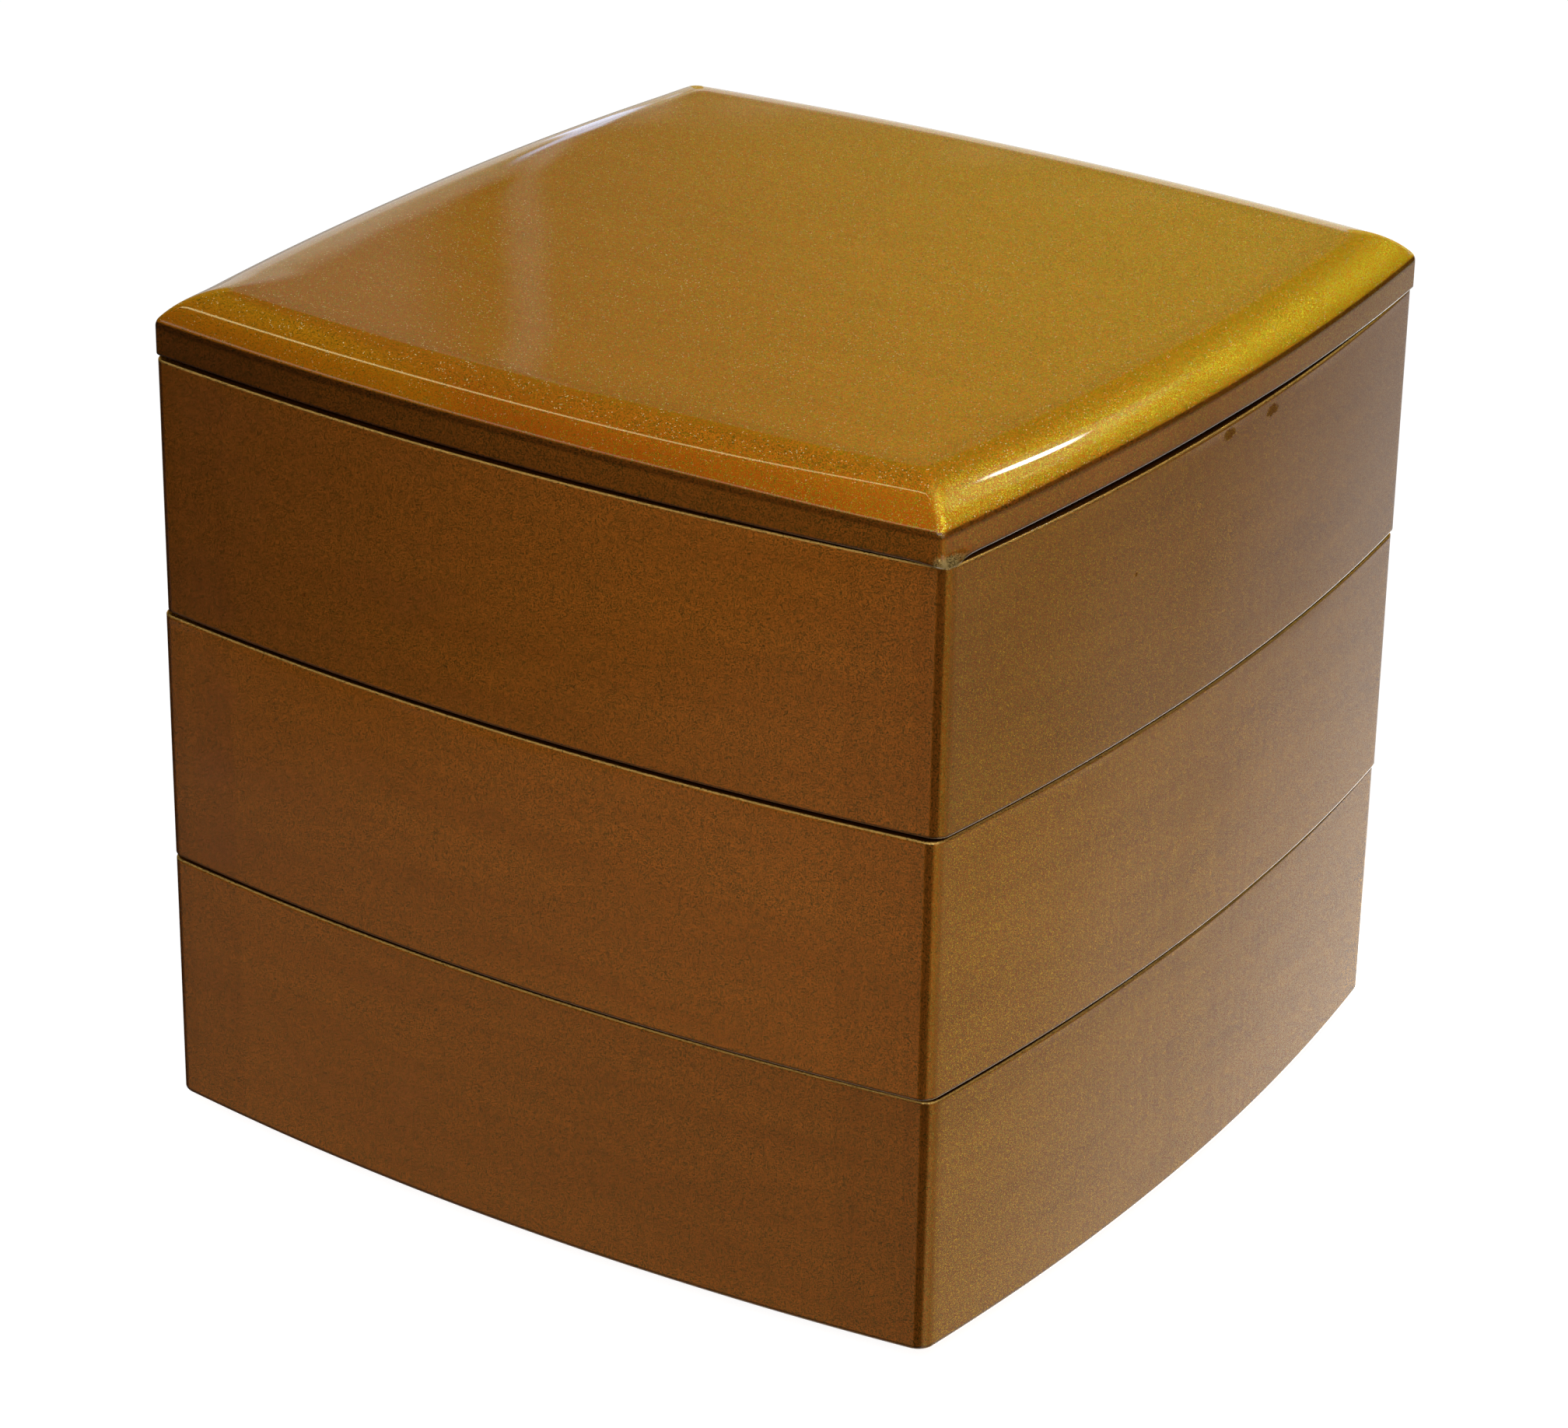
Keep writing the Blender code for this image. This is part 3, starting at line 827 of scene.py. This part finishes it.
def makeTrayLacquer(name, seed, paintedShading, stains):
    finish = trayFinish
    material, tree, shader = newMaterial(name, finish)
    place = addNode(tree, "ShaderNodeTexCoord").outputs["Object"]
    shifted = addNode(tree, "ShaderNodeVectorMath", {1: (0.0, 0.0, seed)}, {0: place}, operation="ADD").outputs[0]
    side = placeGroup(tree, sidePlace, {"Band Start": finish["bandStart"], "Band Soft": finish["bandSoft"]},
                      {"Vector": place})
    band, front = side.outputs["Band"], side.outputs["Front"]
    level = placeGroup(tree, brushStreaks, finish["level"], {"Vector": shifted})
    upright = placeGroup(tree, brushStreaks, finish["upright"], {"Vector": shifted})
    streak = addMix(tree, band, level.outputs["Streak"], upright.outputs["Streak"])
    grain = addGrain(tree, streak, shifted, finish)
    pigment = addMix(tree, grain, finish["pigmentDark"], finish["pigment"])
    denser = multiply(tree, addMath(tree, "SUBTRACT", grain, 0.5), finish["grainPowder"])
    powder = placeGroup(tree, goldPowder,
                        {"Flake Size": finish["flakeSize"], "Lean": finish["lean"], "Glint Share": 0.0},
                        {"Vector": place, "Coverage": addMath(tree, "ADD", denser, finish["coverage"])})
    flake = powder.outputs["Flake"]
    gold = darken(tree, finish["gold"], addRange(tree, powder.outputs["Shade"], 0.0, 1.0, *finish["shade"]))
    colour = addMix(tree, flake, pigment, gold)
    edgeStart = finish["edgeStart"]
    strip = multiply(tree, front, addRange(tree, side.outputs["Along"], edgeStart, edgeStart + finish["edgeSoft"]))
    rim, seam, lip = (addMark(tree, key) for key in ("rim", "seam", "lip"))
    coat = addFade(tree, addMath(tree, "ADD", rim, seam, clamp=True), finish["rimCoat"])
    # board ends and the strip beside the upright edges, with painted shade on the upright corners and painted light and
    # shade along each side
    lightness = multiply(tree, addFade(tree, band, finish["bandTone"]), addFade(tree, strip, finish["edgeTone"]),
                         addFade(tree, side.outputs["Corner"], finish["cornerShade"]),
                         addPaintedShading(tree, place, front, paintedShading))
    for centre, squash, radius, tone in stains.values():
        stain = placeGroup(tree, blemish, {"Centre": centre, "Squash": squash, "Radius": radius}, {"Vector": place})
        lightness = multiply(tree, lightness, addFade(tree, stain.outputs["Spot"], tone))
        coat = multiply(tree, coat, addFade(tree, stain.outputs["Spot"], finish["stainCoat"]))
    colour = darken(tree, colour, lightness)
    # painted light: the sides facing right and left are tinted less red
    colour = darken(tree, colour, addMix(tree, front, finish["rightLightTint"], (1.0, 1.0, 1.0)))
    # painted highlight on the rim's edge
    colour = addMix(tree, multiply(tree, rim, finish["rimShare"]), colour, finish["rimHighlight"])
    # painted shade on the flat rim and the lower lips
    colour = darken(tree, colour, multiply(tree, addFade(tree, seam, finish["seamShade"]),
                                           addFade(tree, lip, finish["lipShade"])))
    linkShader(tree, shader, finish, colour, flake, powder.outputs["Normal"], coat)
    return material


def makeLidLacquer(name):
    finish = lidFinish
    material, tree, shader = newMaterial(name, finish)
    place = addNode(tree, "ShaderNodeTexCoord").outputs["Object"]
    parts = addNode(tree, "ShaderNodeSeparateXYZ", links={"Vector": place})
    surface = addNode(tree, "ShaderNodeNewGeometry")
    facing = addNode(tree, "ShaderNodeSeparateXYZ", links={"Vector": surface.outputs["Normal"]})
    facingX, facingY, facingZ = (facing.outputs[axis] for axis in "XYZ")
    skirt = addMark(tree, "skirt")
    offSkirt = addMath(tree, "SUBTRACT", 1.0, skirt)
    side = placeGroup(tree, sidePlace, {"Band Start": trayFinish["bandStart"]}, {"Vector": place})
    level = placeGroup(tree, brushStreaks, finish["level"], {"Vector": place})
    grain = addGrain(tree, level.outputs["Streak"], place, finish)

    # pigment
    pigment = addMix(tree, grain, finish["pigmentDark"], finish["pigment"])
    frontShoulder = addRange(tree, facingY, *finish["frontSpan"])
    backShoulder = addRange(tree, facingX, *finish["backSpan"])
    # painted shade reddens the front shoulder, a painted sheen makes the far left one more golden
    for share, tint in ((frontShoulder, finish["frontShadeTint"]), (backShoulder, finish["backSheenTint"])):
        pigment = addMix(tree, share, pigment, darken(tree, pigment, tint))
    pigment = addMix(tree, skirt, pigment, addMix(tree, grain, trayFinish["pigmentDark"], trayFinish["pigment"]))

    # powder, denser from the left corner to the right one as painted light, and coarse cells that vary the gold and
    # place the painted glints
    diagonal = multiply(tree, addMath(tree, "ADD", parts.outputs["X"], parts.outputs["Y"]), 0.7)
    coverage = addRange(tree, diagonal, *finish["diagonalSpan"], *finish["coverage"])
    # fewer flakes on the front shoulder, as painted shade
    coverage = multiply(tree, coverage, addFade(tree, frontShoulder, finish["frontPowder"]))
    coverage = addMix(tree, skirt, coverage, (trayFinish["coverage"],) * 3)
    powder = placeGroup(tree, goldPowder, {"Flake Size": finish["flakeSize"], "Lean": finish["lean"]},
                        {"Vector": place, "Coverage": coverage})
    coarse = placeGroup(tree, goldPowder,
                        {"Flake Size": finish["speckSize"], "Coverage": 1.0, "Glint Share": finish["specks"]},
                        {"Vector": place})
    # painted glints, fewer on the front shoulder
    paintedGlint = multiply(tree, coarse.outputs["Glint"], offSkirt,
                     addFade(tree, frontShoulder, finish["frontSpecks"]))
    gold = addMix(tree, skirt, finish["gold"], trayFinish["gold"])
    gold = darken(tree, gold, addRange(tree, coarse.outputs["Shade"], 0.0, 1.0, *finish["shade"]))
    colour = addMix(tree, powder.outputs["Flake"], pigment, gold)

    # lightness of the top and of the skirt: painted light and shade, with painted shade on the lower lip
    fall = addMark(tree, "fall")
    borderShade = multiply(tree, addRange(tree, fall, *finish["borderBegins"]), addRange(tree, fall, *finish["borderEnds"]))
    paintedTopLight = multiply(tree, addRange(tree, diagonal, *finish["diagonalSpan"], *finish["tone"]),
                       addFade(tree, borderShade, finish["borderShade"]))
    paintedSideShading = addPaintedShading(tree, place, side.outputs["Front"], trayFinish["paintedShading"]["lid"])
    lightness = addMix(tree, skirt, paintedTopLight, paintedSideShading)
    lip = addMark(tree, "lip")
    for mark, tone in ((addMark(tree, "arris"), finish["arrisTone"]), (lip, trayFinish["lipShade"])):
        lightness = darken(tree, lightness, addFade(tree, mark, tone))
    colour = darken(tree, colour, lightness)

    # painted reflection on the lower edge, painted highlight on the drop of lacquer, and painted glints on top of all
    lipReflection = multiply(tree, addRange(tree, facingZ, *finish["lipBegins"]), addRange(tree, facingZ, *finish["lipEnds"]),
                       addRange(tree, facingX, *finish["lipSide"]), lip)
    colour = addMix(tree, lipReflection, colour, finish["lipReflection"])
    spot = finish["beadSpot"]
    bead = placeGroup(tree, blemish, {"Centre": spot["centre"], "Squash": spot["squash"], "Radius": spot["radius"]},
                      {"Vector": place}).outputs["Spot"]
    colour = addMix(tree, multiply(tree, bead, skirt), colour, finish["beadHighlight"])
    colour = addMix(tree, paintedGlint, colour, finish["paintedGlint"])
    metal = multiply(tree, powder.outputs["Flake"], addMath(tree, "SUBTRACT", 1.0, paintedGlint),
                     addMath(tree, "SUBTRACT", 1.0, lipReflection))

    # coat, thinner where the shoulder turns a corner: there the normal leans both ways
    bothWays = addMath(tree, "ABSOLUTE", multiply(tree, facingX, facingY))
    leaning = addMath(tree, "SUBTRACT", 1.004, multiply(tree, facingZ, facingZ))    # never nought
    turned = addRange(tree, addMath(tree, "DIVIDE", bothWays, leaning), *finish["cornerSpan"])
    coat = multiply(tree, addFade(tree, multiply(tree, turned, offSkirt), finish["cornerCoat"]),
                    addFade(tree, bead, finish["beadCoat"]))
    linkShader(tree, shader, finish, colour, metal, powder.outputs["Normal"], coat)
    return material


# The stack

# every piece gets ripples and wood figure of its own
seeds = {"ripple": 3.1, "rippleStep": 7.3, "grainStep": 0.37, "lid": 31.0}

for level, node in enumerate(("bottom_tier", "middle_tier", "top_tier")):
    tray = makeTray(node, seeds["ripple"] + seeds["rippleStep"] * level)
    stains = trayFinish["stains"] if node == "top_tier" else {}
    lacquer = makeTrayLacquer(node + "Lacquer", seeds["grainStep"] * level, trayFinish["paintedShading"][node], stains)
    tray.data.materials.append(lacquer)
    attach(tray, "root")
    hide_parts(node)

lid = makeLid("lid", seeds["lid"])
lid.data.materials.append(makeLidLacquer("lidLacquer"))
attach(lid, "root")
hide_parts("lid")


# Floor, light and camera

stageLook = {
    "floorReach": 6.0,
    "floorSegments": 96,
    "floorRoughness": 0.9,
    "floorGloss": 0.1,
    "floorColour": (0.30, 0.30, 0.30),
    "floorGlow": 0.92,
    "backdrop": (1.0, 1.0, 1.0),
}


def makeFloor():
    mesh = bpy.data.meshes.new("floor")
    body = bmesh.new()
    bmesh.ops.create_circle(body, cap_ends=True, segments=stageLook["floorSegments"],
                            radius=stageLook["floorReach"])
    body.to_mesh(mesh)
    body.free()
    floor = bpy.data.objects.new("floor", mesh)
    bpy.context.scene.collection.objects.link(floor)
    material = bpy.data.materials.new("paleFloor")
    material.use_nodes = True
    shader = material.node_tree.nodes["Principled BSDF"]
    shader.inputs["Base Color"].default_value = (*stageLook["floorColour"], 1.0)
    shader.inputs["Roughness"].default_value = stageLook["floorRoughness"]
    shader.inputs["Specular IOR Level"].default_value = stageLook["floorGloss"]
    shader.inputs["Emission Color"].default_value = (1.0, 1.0, 1.0, 1.0)
    shader.inputs["Emission Strength"].default_value = stageLook["floorGlow"]
    mesh.materials.append(material)
    # the room below stands in for the light that a floor throws back
    floor.visible_glossy = False
    floor.visible_diffuse = False
    floor.visible_shadow = False
    return floor


# The room, as far as the lacquer mirrors it: pale paper behind and beneath, everything else dim
room = {
    "air": 0.010,
    "mapSize": 512,
    "cardCore": 0.2,             # how far inside its edge a card reaches full strength, in shares of its softness
    "cardDepth": 0.1,
    "glows": {
        # azimuth, elevation, degrees to where it begins to fade, degrees to where it ends, strength
        "tableRight": (85.0, -50.0, 8.0, 40.0, 1.25),
        "tableNear": (45.0, -55.0, 6.0, 40.0, 0.22),
        "tableCorner": (-20.0, -55.0, 6.0, 30.0, 0.60),
        "tableBelow": (180.0, -85.0, 4.0, 38.0, 1.00),
    },
    "cards": {
        # azimuth, elevation, half width, half height, softness (degrees), strength
        "paper": (101.0, 0.0, 23.5, 16.6, 3.2, 0.88),
        "wallBehind": (104.0, 18.0, 20.6, 6.0, 1.5, 0.075),
        "sideWall": (141.0, -6.0, 14.5, 15.0, 4.0, 0.42),
        "tableEdge": (103.0, -35.0, 14.0, 7.0, 2.5, 4.00),
        "wallCorner": (134.0, 6.5, 7.5, 11.0, 1.0, 0.22),
        "wallCornerLeft": (136.2, 7.5, 7.2, 11.0, 0.8, 0.14),
        "tableHaze": (27.0, -26.0, 25.0, 9.0, 8.0, 0.11),
        "frontHaze": (-122.0, -31.0, 25.0, 4.0, 3.0, 0.05),
        "tableFront": (-132.0, -45.0, 35.0, 19.0, 2.0, 0.06),
        "curtain": (141.5, 18.0, 13.2, 7.0, 1.2, 0.16),
        "doorEdge": (126.05, 18.0, 0.10, 6.0, 0.32, 0.14),
        "arrisStrip": (-129.0, 34.0, 24.0, 4.0, 3.0, 1.10),
        "window": (76.5, 40.3, 0.4, 0.7, 1.8, 60.0),
        "windowHaze": (73.0, 39.5, 8.0, 3.0, 3.0, 0.50),
    },
    # cards with a tint, across and lengthwise
    "tinted": {
        "tube": {"toward": (-0.50, 0.05, 0.86), "lengthwise": (1.0, 0.0, 0.0), "half": (0.012, 0.34),
                 "soft": 0.012, "strength": 5.5, "tint": (0.95, 0.90, 0.45)},
        "sky": {"toward": (-0.600, 0.785, 0.165), "lengthwise": (0.077, 0.014, 0.414), "half": (0.008, 0.125),
                "soft": 0.007, "strength": 1.4, "tint": (0.70, 0.95, 1.50)},
    },
}


def toward(azimuth, elevation):
    flat = math.cos(math.radians(elevation))
    return Vector((flat * math.cos(math.radians(azimuth)), flat * math.sin(math.radians(azimuth)),
                   math.sin(math.radians(elevation))))


def makeRoom():
    world = bpy.data.worlds.new("studio")
    bpy.context.scene.world = world
    world.use_nodes = True
    world.cycles.sampling_method = "MANUAL"
    world.cycles.sample_map_resolution = room["mapSize"]
    tree = world.node_tree
    for old in list(tree.nodes):
        tree.nodes.remove(old)
    view = addNode(tree, "ShaderNodeTexCoord").outputs["Generated"]
    unit = addNode(tree, "ShaderNodeVectorMath", None, {0: view}, operation="NORMALIZE").outputs[0]

    def facing(direction):
        return addNode(tree, "ShaderNodeVectorMath", {1: direction}, {0: unit},
                       operation="DOT_PRODUCT").outputs["Value"]

    def addCard(total, middle, lengthwise, half, soft, strength):
        across = lengthwise.cross(middle).normalized()
        upward = middle.cross(across)
        depth = facing(middle)
        mask = addMath(tree, "MULTIPLY", addMath(tree, "GREATER_THAN", depth, room["cardDepth"]), strength)
        for axis, reach in ((across, half[0]), (upward, half[1])):
            offset = addMath(tree, "ABSOLUTE", addMath(tree, "DIVIDE", facing(axis), depth))
            inner = reach - room["cardCore"] * soft
            mask = addMath(tree, "MULTIPLY", mask, addRange(tree, offset, reach + soft, inner))
        return addMath(tree, "ADD", total, mask)

    total = addNode(tree, "ShaderNodeValue").outputs[0]
    total.default_value = room["air"]
    for azimuth, elevation, core, reach, strength in room["glows"].values():
        glow = addRange(tree, facing(toward(azimuth, elevation)), math.cos(math.radians(reach)),
                        math.cos(math.radians(core)), 0.0, strength)
        total = addMath(tree, "ADD", total, glow)
    for azimuth, elevation, halfWidth, halfHeight, soft, strength in room["cards"].values():
        half = (math.tan(math.radians(halfWidth)), math.tan(math.radians(halfHeight)))
        total = addCard(total, toward(azimuth, elevation), Vector((0.0, 0.0, 1.0)), half,
                        math.tan(math.radians(soft)), strength)
    for card in room["tinted"].values():
        alone = addCard(0.0, Vector(card["toward"]).normalized(), Vector(card["lengthwise"]), card["half"],
                        card["soft"], card["strength"])
        total = addMix(tree, 1.0, total, darken(tree, alone, card["tint"]), "ADD")
    seen = addNode(tree, "ShaderNodeLightPath").outputs["Is Camera Ray"]
    shown = addMix(tree, seen, total, stageLook["backdrop"])
    background = addNode(tree, "ShaderNodeBackground", links={"Color": shown})
    result = addNode(tree, "ShaderNodeOutputWorld")
    tree.links.new(background.outputs[0], result.inputs["Surface"])
    return world


# Soft lights that stand where no glossy face mirrors them into the camera
lamps = {
    # direction, distance, width and height, radiance
    "overhead": ((0.40, 0.00, 0.92), 1.2, (1.05, 1.05), 1.05),
    "topBack": ((0.10, 0.35, 0.94), 1.2, (0.56, 0.56), 1.20),
    "front": ((0.34, -0.68, 0.65), 1.5, (1.33, 1.33), 2.25),
    "right": ((0.85, -0.45, 0.10), 1.5, (0.90, 0.90), 0.75),
}


def makeLamp(name, direction, distance, size, radiance):
    light = bpy.data.lights.new(name, "AREA")
    light.shape = "RECTANGLE"
    light.size, light.size_y = size
    light.energy = radiance * math.pi * size[0] * size[1]
    holder = bpy.data.objects.new(name, light)
    bpy.context.scene.collection.objects.link(holder)
    middle = (cadBox[0] + cadBox[1]) / 2.0
    unit = Vector(direction).normalized()
    holder.location = middle + unit * distance
    holder.rotation_mode = "QUATERNION"
    holder.rotation_quaternion = unit.to_track_quat("Z", "Y")
    return holder


# The camera stands where the photograph was taken from
cameraPlace = {
    "position": (0.4960, -0.7745, 0.5024),
    "azimuth": 32.714,
    "elevation": 24.728,
    "roll": 0.947,
    "lens": 111.99,
    "sensor": 36.0,
    "clip": (0.05, 50.0),
}


def makeCamera():
    data = bpy.data.cameras.new("camera")
    data.lens = cameraPlace["lens"]
    data.sensor_width = cameraPlace["sensor"]
    data.clip_start, data.clip_end = cameraPlace["clip"]
    camera = bpy.data.objects.new("camera", data)
    bpy.context.scene.collection.objects.link(camera)
    azimuth, elevation, roll = (math.radians(cameraPlace[key]) for key in ("azimuth", "elevation", "roll"))
    right = Vector((math.cos(azimuth), math.sin(azimuth), 0.0))
    back = Vector((math.sin(azimuth) * math.cos(elevation), -math.cos(azimuth) * math.cos(elevation),
                   math.sin(elevation)))
    up = back.cross(right)
    rolledRight = right * math.cos(roll) + up * math.sin(roll)
    rolledUp = up * math.cos(roll) - right * math.sin(roll)
    axes = Matrix((rolledRight, rolledUp, back)).transposed().to_4x4()
    camera.matrix_world = Matrix.Translation(cameraPlace["position"]) @ axes
    bpy.context.scene.camera = camera


makeFloor()
makeRoom()
for name, lamp in lamps.items():
    makeLamp(name, *lamp)
makeCamera()
bpy.context.scene.view_settings.view_transform = "Standard"
bpy.context.scene.cycles.use_denoising = True
print("stage, lights and camera made")
